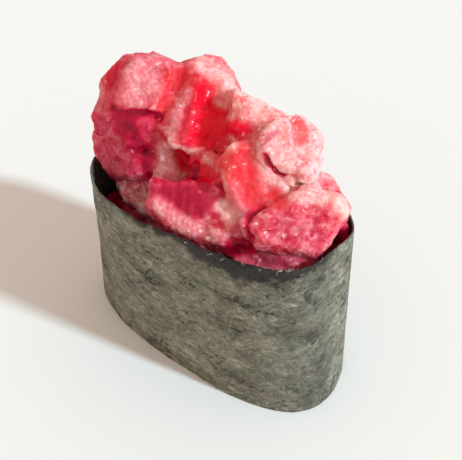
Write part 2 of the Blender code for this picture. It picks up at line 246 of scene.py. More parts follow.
# Strokes over the cut faces: shade, radius, push outward, then the points each runs through. Some
# strokes paint shade into gaps, a crevice and a groove, and under overhangs.
STROKES = (
    ("red", 3.0, 0.0, (-22, -3, 46.5), (-20.5, -3, 48.5), (-19.5, -4.5, 46)),
    ("pink", 1.6, 0.2, (-23.5, -3.5, 44.5), (-22.5, -5, 42)),
    ("frost", 3.0, 0.2, (-17, -2.5, 49.5), (-15, -2, 48), (-16, -4, 47)),
    ("ember", 1.8, -0.4, (-12, 1.5, 49), (-11.5, 0.5, 47), (-12, -1, 45)),
    # painted shadow under the overhang of the top left chunk
    ("garnet", 0.8, -0.4, (-19.5, -5.5, 43.8), (-15, -5, 44), (-13, -3.2, 43.8),
     (-11, -1.6, 42.5)),
    # painted shade in the groove down the left wall
    ("garnet", 1.9, 0.1, (-17.2, -5.2, 42.6), (-16.5, -5.4, 40.4)),
    ("garnet", 1.1, -0.2, (-15.7, -5.8, 41.9), (-14.7, -5.6, 39.5), (-13.5, -5.5, 36.9)),
    ("garnet", 0.8, -0.2, (-13.5, -5.5, 36.9), (-12.6, -5.7, 34.4), (-11.9, -5.6, 32.6)),
    ("mauve", 1.6, 0.0, (-20.4, -8, 32.5), (-17.6, -7.4, 32.6)),
    ("scarlet", 2.2, -0.4, (-7.2, -0.5, 34.6), (-5.6, -2, 37.4)),
    ("scarlet", 1.5, -0.5, (-3.2, -4, 38), (-2.6, -5.4, 37)),
    ("scarlet", 3.7, -0.3, (-5.0, 2.6, 47.5), (-4.0, 1.6, 45), (-3.8, 0, 42.3)),
    ("frost", 1.5, 0.4, (-9.2, 0.9, 47.6), (-8.9, -1.8, 43.6), (-8.6, -3.1, 40.6)),
    ("pale", 2.8, 0.2, (-8.9, 6.5, 50.4), (-6.1, 7.1, 49.2), (-3.5, 6.5, 47.5)),
    # painted shadow under the lower edge of the centre peak
    ("garnet", 1.3, -0.6, (-7.4, -2.6, 38.2), (-5, -2.8, 37.2), (-2.6, -3, 37.6)),
    ("pale", 0.8, 0.5, (-8.4, -3.6, 41), (-7.6, -3.6, 40.2), (-5.5, -2.9, 39.5),
     (-3, -1.7, 39.5)),
    ("pale", 2.6, 0.3, (9.4, 1.7, 48), (12.4, 3.4, 46.7), (14.2, 3.4, 45.5), (12, 0, 45)),
    ("salmon", 1.4, -0.5, (11.6, 4.5, 48.2), (12.2, 4, 47.1), (12.7, 3.2, 46.4)),
    ("pale", 0.6, 0.35, (10.6, 3.4, 48.1), (11.4, 2.7, 46.8), (12.5, 1.8, 46)),
    ("mauve", 0.5, -0.5, (8.9, -1.2, 46.2), (9.7, -0.1, 47.4), (10.4, 1.3, 47.9)),
    ("pale", 1.6, 0.5, (14.9, 6.1, 45.2), (15.9, 4.8, 43.5)),
    ("frost", 1.3, 0.3, (8.4, -0.4, 46.2), (9.3, -1.7, 45)),
    ("pale", 1.5, 0.2, (9.2, -2.2, 44.4), (10.6, -2.4, 42.2), (12.2, -1.8, 40.6),
     (13.8, -1.2, 39)),
    ("garnet", 0.5, -1.0, (10, -2.1, 44.9), (10.9, -1.8, 43.4), (11.9, -1.3, 41.8),
     (12.7, -0.6, 41.2)),
    ("garnet", 0.5, -0.9, (12.7, -0.6, 41.2), (13.5, 0.2, 41.5), (14.9, 0.7, 41.2)),
    ("blush", 0.45, -0.3, (13.5, -0.9, 40.7), (15.1, -0.1, 40.8), (15.9, 1.5, 39.5)),
    ("garnet", 0.5, -0.8, (3.8, -6.3, 38.6), (5, -6.7, 38.2), (5.7, -7.1, 37.3)),
    ("frost", 1.4, 0.4, (6.2, -6.8, 39.3), (8, -7.2, 38.3), (10.1, -7.9, 36.6), (12, -9.4, 35)),
    ("ember", 1.3, -0.2, (13.1, -3, 38.9), (15.2, -4.6, 39.1), (14.1, -5.3, 38.5)),
    ("scarlet", 1.7, -0.5, (2.2, -0.6, 45.7), (4.0, 0.3, 45.9), (-0.6, 0.4, 43.8)),
    ("scarlet", 1.8, -0.3, (-8.3, -1.5, 37.4), (-6.4, -2.4, 36), (-2.3, -4.5, 37.2),
     (1.2, -6.2, 37.9)),
    ("rose", 1.7, 0.9, (-10.2, -3, 37.2), (-9.6, -4.2, 35.6), (-8.2, -4.5, 34.6)),
    ("garnet", 1.1, 0.0, (-2.6, -5, 37.2), (-1.5, -5.8, 37.2), (-1.5, -7.2, 37.8)),
    # painted shade in the crevice at the left edge of the right front chunk
    ("garnet", 0.7, -0.6, (12.7, -6, 37.9), (11.8, -8.2, 37.2), (12.5, -10.1, 35.6),
     (13.2, -10, 34.2)),
    # painted shade in the gap between the front slab and the right front chunk
    ("garnet", 1.3, 0.1, (10, -10.6, 30.6), (12.6, -9.1, 31.4)),
    ("ember", 2.6, -0.2, (6.1, -3.9, 43.2), (8, -4.6, 41.4), (9.3, -5.3, 39.3)),
    ("cream", 1.1, 0.7, (4.1, -2.8, 44.1)),
    ("salmon", 1.2, 0.7, (-0.6, -1.9, 40.6)),
    ("dusk", 3.0, -0.2, (-2.6, -10.4, 36.4), (1.6, -9, 36.8)),
    ("dusk", 1.8, -0.1, (-1.4, -11.3, 34.8), (2.1, -10.4, 35.3)),
    ("frost", 1.5, 0.3, (-4.1, -13.3, 34.5), (1.6, -12.5, 32.8), (7.4, -11.7, 32.4)),
    ("pale", 1.6, 0.3, (6, -8, 36), (8, -8.6, 34.6)),
    ("pale", 2.2, 0.2, (15, 1.1, 39.4), (17.7, 1.5, 39.2), (21.3, 2, 39.4)),
    ("pale", 1.4, 0.1, (16.7, -2.5, 40.1), (20, -0.5, 39.5)),
    ("cream", 1.6, 0.3, (22.5, 1.5, 38.5), (24, 1.6, 37.6)),
)

# Colours: stops of a position and a colour. Those of the tuna go by its tone
CRIMSON_FLESH = (
    (0.0, (0.14, 0.0, 0.012)),
    (0.28, (0.47, 0.003, 0.042)),
    (0.5, (0.60, 0.045, 0.095)),
    (0.7, (0.70, 0.15, 0.20)),
    (0.88, (0.80, 0.29, 0.33)),
    (1.0, (0.88, 0.47, 0.49)),
)
SALMON_FLESH = (
    (0.0, (0.50, 0.0, 0.016)),
    (0.28, (0.93, 0.0, 0.026)),
    (0.5, (0.84, 0.035, 0.048)),
    (0.7, (0.84, 0.16, 0.15)),
    (0.88, (0.87, 0.32, 0.29)),
    (1.0, (0.90, 0.51, 0.47)),
)
BROAD_SHARE = 0.22  # how much the tone changes with broad blotches, and with fine ones
FINE_SHARE = 0.10
ICY_FINE_SHARE = 0.30
FROST_GRAIN_SHARE = 0.09
# pale specks over the flesh: frost, and painted glints
SPECK_SIZE = 0.46
SPECK_CHANCE = 0.55
SPECK_SHARE = 0.32
GLOW = 0.9  # subsurface weight, and how much of it seams lose
FLESH_ROUGHNESS = 0.40
ICY_ROUGHNESS = 0.15  # what frost adds
GREEN_NORI = (
    (0.33, (0.030, 0.034, 0.022)),
    (0.43, (0.106, 0.110, 0.074)),
    (0.50, (0.168, 0.170, 0.120)),
    (0.57, (0.25, 0.248, 0.184)),
    (0.66, (0.46, 0.45, 0.36)),
)
TAN_NORI = (
    (0.33, (0.040, 0.032, 0.026)),
    (0.43, (0.124, 0.106, 0.080)),
    (0.50, (0.200, 0.176, 0.134)),
    (0.57, (0.30, 0.270, 0.212)),
    (0.66, (0.54, 0.49, 0.41)),
)
# colours of damp nori, also used where shade is painted over the wall and the inside
DAMP_AND_SHADED_NORI = (
    (0.38, (0.010, 0.006, 0.005)),
    (0.56, (0.028, 0.020, 0.016)),
    (0.70, (0.10, 0.08, 0.066)),
)
NORI_PATCHES = 0.34  # how much the nori's tone changes with patches, fibres, flecks and creases; the creases are darkened with painted shade
NORI_FIBRES = 0.44
NORI_FLECKS = 0.22
NORI_CREASE_SHADE = -0.17
NORI_ROUGHNESS = 0.82
DAMP_SHEEN = 0.22  # what damp, and the painted shade stored with it, takes off the roughness
FRAY_COLOURS = ((0.3, (0.20, 0.19, 0.15)), (0.7, (0.52, 0.49, 0.42)))
RICE_COLOURS = ((0.3, (0.78, 0.76, 0.69)), (0.7, (0.90, 0.89, 0.84)))


# Noise

HASH_AXES = np.array((374761393, 668265263, 1442695041))
HASH_SEED = 1013904223
HASH_ROUNDS = ((15, 1274126177), (13, 1911520717))
HASH_SHIFT = 16
WORD = 0xFFFFFFFF
HASH_TOP = 0xFFFFFF
NOISE_SHIFT = 0.37  # how far a seed moves the lumps, in lumps
NOISE_GAIN = 1.9


def dice(whole, seed):
    """A number from 0 to 1 for each row of three whole numbers."""
    bits = (whole @ HASH_AXES + seed * HASH_SEED) & WORD
    for shift, factor in HASH_ROUNDS:
        bits = ((bits ^ (bits >> shift)) * factor) & WORD
    return ((bits ^ (bits >> HASH_SHIFT)) & HASH_TOP) / HASH_TOP


def dice_by_axis(whole, seed):
    """Three numbers from 0 to 1 for each row of three whole numbers."""
    return np.stack([dice(whole, seed + axis) for axis in range(3)], axis=1)


def noise(points, size, seed):
    """Smooth noise from about -1 to 1, with lumps of the given size."""
    scaled = points / size + NOISE_SHIFT * seed
    cell = np.floor(scaled).astype(np.int64)
    part = scaled - cell
    ease = part * part * part * (part * (part * 6 - 15) + 10)
    total = np.zeros(len(points))
    for corner in itertools.product((0, 1), repeat=3):
        corner = np.array(corner)
        at = cell + corner
        weight = np.prod(np.where(corner, ease, 1 - ease), axis=1)
        away = part - corner
        slope = sum((dice(at, seed * 3 + axis) * 2 - 1) * away[:, axis] for axis in range(3))
        total += weight * slope
    return total * NOISE_GAIN


def uneven(points, size, amount, seed, layers=1):
    """Noise of an amount; each further layer has half the size and half the amount."""
    return amount * sum(noise(points, size / 2**i, seed + i) / 2**i for i in range(layers))


def cells(points, size, seed):
    """Distances to the nearest two of scattered points, and the cells of those two."""
    scaled = points / size
    cell = np.floor(scaled).astype(np.int64)
    first = np.full(len(points), np.inf)
    second = first.copy()
    owner, runner = cell.copy(), cell.copy()
    for step in itertools.product((-1, 0, 1), repeat=3):
        at = cell + np.array(step)
        away = np.linalg.norm(scaled - spots(at, seed), axis=1)
        nearest = away < first
        nearer = (away < second) & ~nearest
        runner[nearest] = owner[nearest]
        second[nearest] = first[nearest]
        owner[nearest] = at[nearest]
        first[nearest] = away[nearest]
        runner[nearer] = at[nearer]
        second[nearer] = away[nearer]
    return first, second, owner, runner


def spots(at, seed):
    """The scattered point in each cell."""
    return at + dice_by_axis(at, seed * 3)


def torn(points, size, seed):
    """Small tilted facets, from about -1 to 1, with low steps between them."""
    first, second, *pair = cells(points, size, seed)
    rise = []
    for at in pair:
        tilt = dice_by_axis(at, seed * 5) * 2 - 1
        away = points / size - spots(at, seed)
        rise.append((away * tilt).sum(1) + dice(at, seed * 7) - 0.5)
    share = 0.5 + 0.5 * ramp(second - first, 0, TEAR_STEP)
    return rise[0] * share + rise[1] * (1 - share)


def knobs(points, size, seed, highest, middle):
    """Flat-topped knobs about zero, one on each of scattered points."""
    first, second, *_ = cells(points, size, seed)
    return np.minimum(second - first, highest) - middle


def ramp(value, low, high):
    """0 up to low and 1 from high on, with a smooth rise between."""
    t = np.clip((value - low) / (high - low), 0, 1)
    return t * t * (3 - 2 * t)


# Meshes


def read(items, name):
    """A property of three numbers of each item."""
    out = np.empty(len(items) * 3, np.float32)
    items.foreach_get(name, out)
    return out.astype(float).reshape(-1, 3)


def write_points(mesh, points):
    mesh.vertices.foreach_set("co", points.astype(np.float32).ravel())
    mesh.update()


def points_of(mesh):
    return read(mesh.vertices, "co")


def normals_of(mesh):
    return read(mesh.vertex_normals, "vector")


def edges_of(mesh):
    out = np.empty(len(mesh.edges) * 2, np.int32)
    mesh.edges.foreach_get("vertices", out)
    return out.reshape(-1, 2)


def relaxed(values, edges, steps):
    """Rows of values drawn towards the average of their neighbours."""
    count, width = values.shape
    ends = np.concatenate([edges[:, 0], edges[:, 1]])
    others = np.concatenate([edges[:, 1], edges[:, 0]])
    degree = np.maximum(np.bincount(ends, minlength=count), 1)[:, None]
    for _ in range(steps):
        around = [np.bincount(ends, values[others, column], count) for column in range(width)]
        values = (values + np.stack(around, 1) / degree) / 2
    return values


def store(mesh, name, values):
    made = mesh.attributes.new(name, "FLOAT", "POINT")
    made.data.foreach_set("value", values.astype(np.float32))


def quads(grid):
    """Faces between the rows and columns of a grid of corners."""
    around = [grid[:-1, :-1], grid[1:, :-1], grid[1:, 1:], grid[:-1, 1:]]
    return np.stack(around, axis=-1).reshape(-1, 4)


def strip(first, second):
    """Faces between two rows of corners."""
    return np.stack([first[:-1], first[1:], second[1:], second[:-1]], axis=-1)


def fix_facing(mesh):
    bm = bmesh.new()
    bm.from_mesh(mesh)
    bmesh.ops.recalc_face_normals(bm, faces=bm.faces)
    bm.to_mesh(mesh)
    bm.free()


def fine_mesh(sources, grow, voxel):
    """A fine, even mesh of CAD solids, grown a little and joined, in millimetres."""
    bm = bmesh.new()
    for source in sources:
        bm.from_mesh(source.data)
    bmesh.ops.scale(bm, vec=(1 / MM,) * 3, verts=bm.verts)
    bmesh.ops.remove_doubles(bm, verts=bm.verts, dist=WELD)
    bm.normal_update()
    for vert in bm.verts:
        vert.co += vert.normal * grow
    mesh = bpy.data.meshes.new("grown")
    bm.to_mesh(mesh)
    bm.free()
    carrier = bpy.data.objects.new("carrier", mesh)
    bpy.context.scene.collection.objects.link(carrier)
    even = carrier.modifiers.new("even", "REMESH")
    even.mode = "VOXEL"
    even.voxel_size = voxel
    graph = bpy.context.evaluated_depsgraph_get()
    fine = bpy.data.meshes.new_from_object(carrier.evaluated_get(graph))
    bpy.data.objects.remove(carrier)
    bpy.data.meshes.remove(mesh)
    return fine


def add_piece(name, mesh, look, slot, *stands_for):
    """Put a mesh made in millimetres into the scene as a piece of the object."""
    mesh.transform(Matrix.Scale(MM, 4))
    mesh.materials.clear()
    mesh.materials.append(look)
    mesh.shade_smooth()
    made = bpy.data.objects.new(name, mesh)
    bpy.context.scene.collection.objects.link(made)
    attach(made, "root")
    if stands_for:
        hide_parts(*stands_for)


# Materials


def new_material(name):
    made = bpy.data.materials.new(name)
    made.use_nodes = True
    return made, made.node_tree.nodes["Principled BSDF"]


def feed(tree, socket, value):
    """Link a socket to another node's output, or set its value."""
    if isinstance(value, bpy.types.NodeSocket):
        tree.links.new(value, socket)
    else:
        socket.default_value = value


def node(tree, kind, **inputs):
    """A shader node, with its inputs by socket name, where _ stands for a space."""
    made = tree.nodes.new("ShaderNode" + kind)
    for name, value in inputs.items():
        feed(tree, made.inputs[name.replace("_", " ")], value)
    return made


def attribute(tree, name):
    made = tree.nodes.new("ShaderNodeAttribute")
    made.attribute_name = name
    return made.outputs["Fac"]


def place(tree):
    return tree.nodes.new("ShaderNodeTexCoord").outputs["Object"]


def maths(tree, operation, *values):
    made = tree.nodes.new("ShaderNodeMath")
    made.operation = operation
    for socket, value in zip(made.inputs, values):
        feed(tree, socket, value)
    return made.outputs[0]


def blotches(tree, size, detail=2.0, roughness=0.5, seed=0.0, squeeze=(1, 1, 1), twist=0.0):
    """Noise from 0 to 1 with blotches of a size in millimetres."""
    shifted = node(tree, "Mapping", Vector=place(tree), Location=(seed, seed * 0.7, -seed),
                   Scale=squeeze)
    made = node(tree, "TexNoise", Vector=shifted.outputs[0], Scale=1 / (size * MM),
                Detail=detail, Roughness=roughness, Distortion=twist)
    return made.outputs["Fac"]


def dots(tree, size):
    """Scattered dots: the distance to the nearest in spacings of a size, and its chance."""
    bent = node(tree, "TexNoise", Vector=place(tree), Scale=1 / (size * MM), Detail=2.0)
    moved = tree.nodes.new("ShaderNodeVectorMath")
    moved.operation = "MULTIPLY_ADD"
    for socket, value in zip(moved.inputs, (bent.outputs["Color"], (size * MM,) * 3, place(tree))):
        feed(tree, socket, value)
    made = node(tree, "TexVoronoi", Vector=moved.outputs[0], Scale=1 / (size * MM))
    parts = node(tree, "SeparateColor", Color=made.outputs["Color"])
    return made.outputs["Distance"], parts.outputs[0]


def colours(tree, fac, stops):
    made = tree.nodes.new("ShaderNodeValToRGB")
    tree.links.new(fac, made.inputs[0])
    elements = made.color_ramp.elements
    while len(elements) < len(stops):
        elements.new(0.5)
    for element, (position, colour) in zip(elements, stops):
        element.position = position
        element.color = (*colour, 1.0)
    return made.outputs[0]


def mixed(tree, fac, first, second):
    made = tree.nodes.new("ShaderNodeMix")
    made.data_type = "RGBA"
    tree.links.new(fac, made.inputs[0])
    tree.links.new(first, made.inputs[6])
    tree.links.new(second, made.inputs[7])
    return made.outputs[2]


def scaled_range(tree, value, low, high, to_low=0.0, to_high=1.0):
    made = node(tree, "MapRange", Value=value, From_Min=low, From_Max=high, To_Min=to_low,
                To_Max=to_high)
    return made.outputs[0]


def bumpy(tree, shader, strength, distance, height):
    made = node(tree, "Bump", Strength=strength, Distance=distance * MM, Height=height)
    tree.links.new(made.outputs[0], shader.inputs["Normal"])


def tuna_material():
    made, shader = new_material("raw tuna")
    tree = made.node_tree
    tone, warmth, frost = (attribute(tree, name) for name in ("tone", "warmth", "frost"))
    broad = blotches(tree, size=2.2, detail=3.0)
    broad = maths(tree, "SUBTRACT", broad, 0.5)
    fine = blotches(tree, size=0.5, detail=3.0, roughness=0.65, seed=3.0)
    fine = maths(tree, "SUBTRACT", fine, 0.5)
    tone = maths(tree, "MULTIPLY_ADD", broad, BROAD_SHARE, tone)
    strength = maths(tree, "MULTIPLY_ADD", frost, ICY_FINE_SHARE, FINE_SHARE)
    tone = maths(tree, "MULTIPLY_ADD", fine, strength, tone)
    away, _ = dots(tree, size=0.62)
    grains = scaled_range(tree, away, low=0.05, high=0.70, to_low=FROST_GRAIN_SHARE,
                          to_high=-FROST_GRAIN_SHARE)
    tone = maths(tree, "MULTIPLY_ADD", grains, frost, tone)
    # pale specks: frost, and painted glints
    away, chance = dots(tree, size=1.5)
    on_speck = maths(tree, "LESS_THAN", away, maths(tree, "MULTIPLY", chance, SPECK_SIZE))
    some = maths(tree, "LESS_THAN", chance, SPECK_CHANCE)
    specks = maths(tree, "MULTIPLY", on_speck, some)
    tone = maths(tree, "MULTIPLY_ADD", specks, SPECK_SHARE, tone)
    crimson, salmon = colours(tree, tone, CRIMSON_FLESH), colours(tree, tone, SALMON_FLESH)
    tree.links.new(mixed(tree, warmth, crimson, salmon), shader.inputs["Base Color"])
    # Flesh glows grey where meshes overlap, so seams glow less
    glow = maths(tree, "MULTIPLY_ADD", attribute(tree, "seam"), -GLOW, GLOW)
    tree.links.new(glow, shader.inputs["Subsurface Weight"])
    shader.inputs["Subsurface Radius"].default_value = (1.0, 0.14, 0.12)
    shader.inputs["Subsurface Scale"].default_value = 2.6 * MM
    shader.inputs["Specular IOR Level"].default_value = 0.10
    shader.inputs["Coat Weight"].default_value = 0.22
    shader.inputs["Coat Roughness"].default_value = 0.18
    roughness = maths(tree, "MULTIPLY_ADD", frost, ICY_ROUGHNESS, FLESH_ROUGHNESS)
    tree.links.new(roughness, shader.inputs["Roughness"])
    pores = blotches(tree, size=0.45, detail=3.0, roughness=0.6, seed=7.0)
    bumpy(tree, shader, strength=0.5, distance=0.16, height=pores)
    return made


def nori_material():
    made, shader = new_material("nori")
    tree = made.node_tree
    damp_and_shade, fold = attribute(tree, "damp_and_shade"), attribute(tree, "fold")
    patches = blotches(tree, size=4.0, detail=4.0, roughness=0.6, seed=2.0,
                       squeeze=(0.6, 0.6, 1.1))
    fibres = blotches(tree, size=0.95, detail=4.0, roughness=0.62, seed=5.0,
                      squeeze=(0.65, 0.65, 1.2), twist=0.9)
    flecks = blotches(tree, size=0.40, detail=3.0, roughness=0.6, seed=11.0,
                      squeeze=(0.8, 0.8, 1.1), twist=0.8)
    tone = maths(tree, "MULTIPLY", patches, NORI_PATCHES)
    # patches, fibres and flecks vary the tone; creases darken it with painted shade
    for part, share in ((fibres, NORI_FIBRES), (flecks, NORI_FLECKS), (fold, NORI_CREASE_SHADE)):
        tone = maths(tree, "MULTIPLY_ADD", part, share, tone)
    hue = blotches(tree, size=3.2, detail=4.0, roughness=0.7, seed=21.0,
                   squeeze=(0.7, 0.7, 1.1))
    hue = scaled_range(tree, hue, low=0.36, high=0.62)
    dry = mixed(tree, hue, colours(tree, tone, GREEN_NORI), colours(tree, tone, TAN_NORI))
    # darker colours where the nori is damp and where shade is painted
    colour = mixed(tree, damp_and_shade, dry, colours(tree, tone, DAMP_AND_SHADED_NORI))
    tree.links.new(colour, shader.inputs["Base Color"])
    roughness = maths(tree, "MULTIPLY_ADD", damp_and_shade, -DAMP_SHEEN, NORI_ROUGHNESS)
    tree.links.new(roughness, shader.inputs["Roughness"])
    shader.inputs["Specular IOR Level"].default_value = 0.35
    bumpy(tree, shader, strength=0.8, distance=0.3, height=tone)
    return made


def fray_material():
    made, shader = new_material("torn nori fibre")
    tree = made.node_tree
    colour = colours(tree, blotches(tree, size=0.8), FRAY_COLOURS)
    tree.links.new(colour, shader.inputs["Base Color"])
    shader.inputs["Roughness"].default_value = 0.7
    return made


def rice_material():
    made, shader = new_material("cooked rice")
    tree = made.node_tree
    colour = colours(tree, blotches(tree, size=1.5), RICE_COLOURS)
    tree.links.new(colour, shader.inputs["Base Color"])
    shader.inputs["Subsurface Weight"].default_value = 0.4
    shader.inputs["Subsurface Radius"].default_value = (1.0, 0.9, 0.7)
    shader.inputs["Subsurface Scale"].default_value = 1.0 * MM
    shader.inputs["Roughness"].default_value = 0.32
    bumpy(tree, shader, strength=0.2, distance=0.1, height=blotches(tree, size=0.5))
    return made


# The band's plan


def turned(bearing, middle, spread):
    """1 at a bearing, falling away to both sides of it."""
    return np.exp(-(((bearing - middle + 180) % 360 - 180) / spread) ** 2)


def press(bearing, level):
    """How far the wall stands out, as a share of the plain oval's."""
    total = 1.0
    for middle, foot, rim in PRESSES:
        total = total + (foot + (rim - foot) * level) * turned(bearing, middle, PRESS_SPREAD)
    return total


def plan(bearing, level):
    """Points of the band's middle line, as an array of x and y."""
    t = np.radians(bearing)
    c, s = np.cos(t), np.sin(t)
    radius = (abs(c) ** PLAN_POWER + abs(s) ** PLAN_POWER) ** (-1.0 / PLAN_POWER)
    radius = radius * press(bearing, level)
    return np.stack([BAND_HALF_LENGTH * radius * c, BAND_HALF_WIDTH * radius * s], axis=-1)


def plan_normal(bearing, level):
    """Ways straight out of the wall."""
    along = plan(bearing + 0.5, level) - plan(bearing - 0.5, level)
    out = np.stack([along[..., 1], -along[..., 0]], axis=-1)
    return out / np.linalg.norm(out, axis=-1, keepdims=True)


def plan_centre():
    """Where the CAD part puts the plan's own zero."""
    bearings = np.arange(0, 360, 1.0)
    corners = np.concatenate([plan(bearings, 0.0), plan(bearings, 1.0)])
    low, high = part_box("nori_band")
    middle = np.array([(low.x + high.x) / 2, (low.y + high.y) / 2]) / MM
    return middle - (corners.min(0) + corners.max(0)) / 2


def wall_reach(flat, level):
    """How far the band stands out from the plan's zero, in the directions of points."""
    bearing = np.arctan2(flat[:, 1] / BAND_HALF_WIDTH, flat[:, 0] / BAND_HALF_LENGTH)
    return np.linalg.norm(plan(np.degrees(bearing), level), axis=1)


# Nori


def nori_sheet():
    """The sheet's mesh, and its corners' places, ways out, bearings and levels."""
    travelled, level = np.meshgrid(
        np.linspace(0, 360 + SEAM_OVERLAP, SHEET_STEPS + 1),
        np.linspace(0, 1, SHEET_LEVELS + 1), indexing="ij")
    bearing = SEAM_START + travelled
    lift = ramp(travelled, 360 - SEAM_RAMP, 360) * (SHEET_THICKNESS + SEAM_GAP)
    flat, outward = plan(bearing, level), plan_normal(bearing, level)
    sides = []
    for offset in (SHEET_THICKNESS / 2, -SHEET_THICKNESS / 2):
        side = flat + outward * (lift + offset)[..., None] + CENTRE
        sides.append(np.dstack([side, level * BAND_HEIGHT]))
    points = np.stack(sides).reshape(-1, 3)
    outside, inside = np.arange(2 * level.size).reshape(2, *level.shape)
    faces = [quads(outside), quads(inside)[:, ::-1]]
    faces.append(strip(outside[:, -1], inside[:, -1]))
    faces.append(strip(inside[:, 0], outside[:, 0]))
    faces.append(strip(outside[0], inside[0]))
    faces.append(strip(inside[-1], outside[-1]))
    mesh = bpy.data.meshes.new("nori_sheet")
    mesh.from_pydata(points.tolist(), [], np.concatenate(faces).tolist())
    fix_facing(mesh)
    normal = np.dstack([outward, np.zeros(level.shape)]).reshape(-1, 3)
    bearing, level = np.tile(bearing.ravel(), 2), np.tile(level.ravel(), 2)
    return mesh, points, np.tile(normal, (2, 1)), bearing, level


def nori_creases(middle, bearing, level):
    """1 along the creases of the sheet and 0 away from them."""
    line = uneven(middle * CREASE_SQUEEZE, *CREASES) + uneven(middle, *CREASE_STRAY)
    low, high = FOOT_CREASES
    near_foot = FOOT_CREASE_SHARE * ramp(-level, -high, -low)
    near_edges = turned(bearing, *CREASED) * np.maximum(ramp(level, *RIM_CREASES), near_foot)
    where = np.maximum(ramp(uneven(middle, *CREASE_PATCHES), *PATCH_EDGE), near_edges)
    return ramp(CREASE_WIDTH - np.abs(line), 0, CREASE_WIDTH) * where


def nori_damp_and_shade(middle, bearing, level):
    """How dark the sheet is: damp along a ragged edge under the rim, painted shade over a stretch
    of the wall and on the inside.
    """
    all_round, more, stray = DAMP_DEPTHS
    ragged = uneven(middle, *DAMP_EDGE)
    reach = all_round + more * turned(bearing, *DAMP) + stray * ragged
    edge = ramp(reach - (1 - level) * BAND_HEIGHT, 0, DAMP_FADE)
    edge = edge * ramp(turned(bearing, *DAMP_WHOLE), *DAMP_ENDS)
    # painted shade over one stretch of the wall, with an uneven strength
    stretch_shade = STRETCH_SHADE_SHARE * turned(bearing, *SHADED_STRETCH) * (1 + STRETCH_SHADE_RAGGED * ragged)
    # painted shade on the inside face
    inside = np.repeat((0.0, INSIDE_SHADE), len(level) // 2)
    return np.maximum(np.maximum(edge, stretch_shade), inside)


def build_nori(look):
    mesh, points, normal, bearing, level = nori_sheet()
    middle = np.tile(sum(np.split(points, 2)) / 2, (2, 1))
    fold = nori_creases(middle, bearing, level)
    relief = uneven(middle, *BUCKLES) + uneven(middle, *PULP) - CREASE_DEPTH * fold
    points = points + normal * relief[:, None]
    near_rim, near_foot = level**EDGE_POWER, (1 - level) ** EDGE_POWER
    upright = middle * RIM_SQUEEZE
    points[:, 2] += near_rim * (uneven(upright, *RIM_WAVES) + uneven(upright, *RIM_NICKS))
    points[:, 2] += near_foot * FOOT_LIFT * (1 + uneven(middle, *FOOT_WAVES))
    points[:, 2] = np.maximum(points[:, 2], 0.0)
    write_points(mesh, points)
    store(mesh, "fold", fold)
    store(mesh, "damp_and_shade", nori_damp_and_shade(middle, bearing, level))
    add_piece("nori_sheet", mesh, look, "nori", "nori_band")


def build_frays(look):
    """Loose fibres standing out of the torn rim."""
    chance = random.Random("frays")
    corners, faces = [], []
    turns = [corner * 2 * math.pi / FRAY_SIDES for corner in range(FRAY_SIDES)]
    ring = np.array([(math.cos(t), math.sin(t), math.sin(t + FRAY_LEAN)) for t in turns])
    for _ in range(FRAYS):
        bearing = chance.gauss(*FRAYED)
        heading = chance.uniform(0, 2 * math.pi)
        length = chance.uniform(*FRAY_LENGTH)
        bend = chance.uniform(*FRAY_BEND)
        foot = plan(bearing, 1.0) + CENTRE
        foot = foot + plan_normal(bearing, 1.0) * chance.uniform(*FRAY_OUT)
        spot = np.array((*foot, BAND_HEIGHT - chance.uniform(*FRAY_DOWN)))
        lift = chance.uniform(*FRAY_LIFT)
        for step in range(FRAY_STEPS + 1):
            share = step / FRAY_STEPS
            first = len(corners)
            corners += (spot + FRAY_RADIUS * (1 - FRAY_TAPER * share) * ring).tolist()
            if step:
                for i in range(FRAY_SIDES):
                    after = (i + 1) % FRAY_SIDES
                    below = first - FRAY_SIDES
                    faces.append((below + i, below + after, first + after, first + i))
            else:
                faces.append((first, *range(first + FRAY_SIDES - 1, first, -1)))
            angle = heading + bend * share
            move = np.array((math.cos(angle), math.sin(angle), lift * math.cos(angle)))
            spot = spot + move * length / FRAY_STEPS
        faces.append(tuple(range(first, first + FRAY_SIDES)))
    mesh = bpy.data.meshes.new("nori_frays")
    mesh.from_pydata(corners, [], faces)
    add_piece("nori_frays", mesh, look, "nori")


# Rice


def grain_template():
    """A grain of cooked rice round the origin, lying along x."""
    bm = bmesh.new()
    bmesh.ops.create_icosphere(bm, subdivisions=2, radius=1.0)
    bm.verts.index_update()
    points = np.array([tuple(vert.co) for vert in bm.verts])
    faces = np.array([[vert.index for vert in face.verts] for face in bm.faces])
    bm.free()
    points = points * GRAIN / 2
    points[:, 1:] *= 1 - GRAIN_TAPER * points[:, :1] / GRAIN[0]
    points[:, 2] += GRAIN_CURVE * points[:, 0] ** 2
    return points, faces


def room_in_band(points, height):
    """Whether every one of the points is clear of the band."""
    reach = wall_reach(points, height / BAND_HEIGHT)
    return np.all(np.linalg.norm(points[:, :2], axis=1) < reach - RICE_CLEARANCE)


